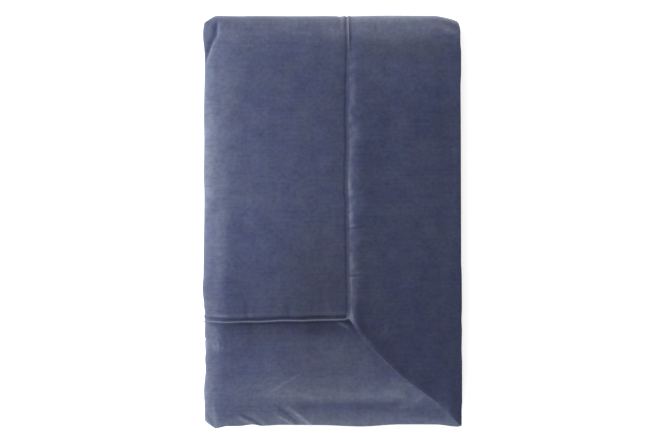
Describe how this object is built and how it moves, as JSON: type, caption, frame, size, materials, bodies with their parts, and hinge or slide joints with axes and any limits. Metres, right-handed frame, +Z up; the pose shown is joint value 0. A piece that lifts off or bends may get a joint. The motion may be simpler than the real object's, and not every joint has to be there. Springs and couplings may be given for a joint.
{
  "type": "bedspread",
  "caption": "Padded velvet bedspread folded back and forth into a flat rectangular pile, with a wide mitred border and welted seams; it dresses a bed or lies ready on a shelf.",
  "frame": {"origin": "middle of the pile's box, on the flat underside that lies on a shelf or bed", "axes": "+X towards the hemmed right side, +Y towards the upper fold along the pile's length, +Z up through the layers"},
  "size_m": [0.5608, 0.8922, 0.0972],
  "materials": {
    "panel_velvet": "slate blue velvet pile",
    "border_velvet": "slate blue velvet pile, nap laid the other way"
  },
  "bodies": {
    "root": {"centre_panel": "panel_velvet", "border_right": "border_velvet", "border_foot": "border_velvet", "border_left": "border_velvet", "border_head": "border_velvet"}
  },
  "joints": []
}
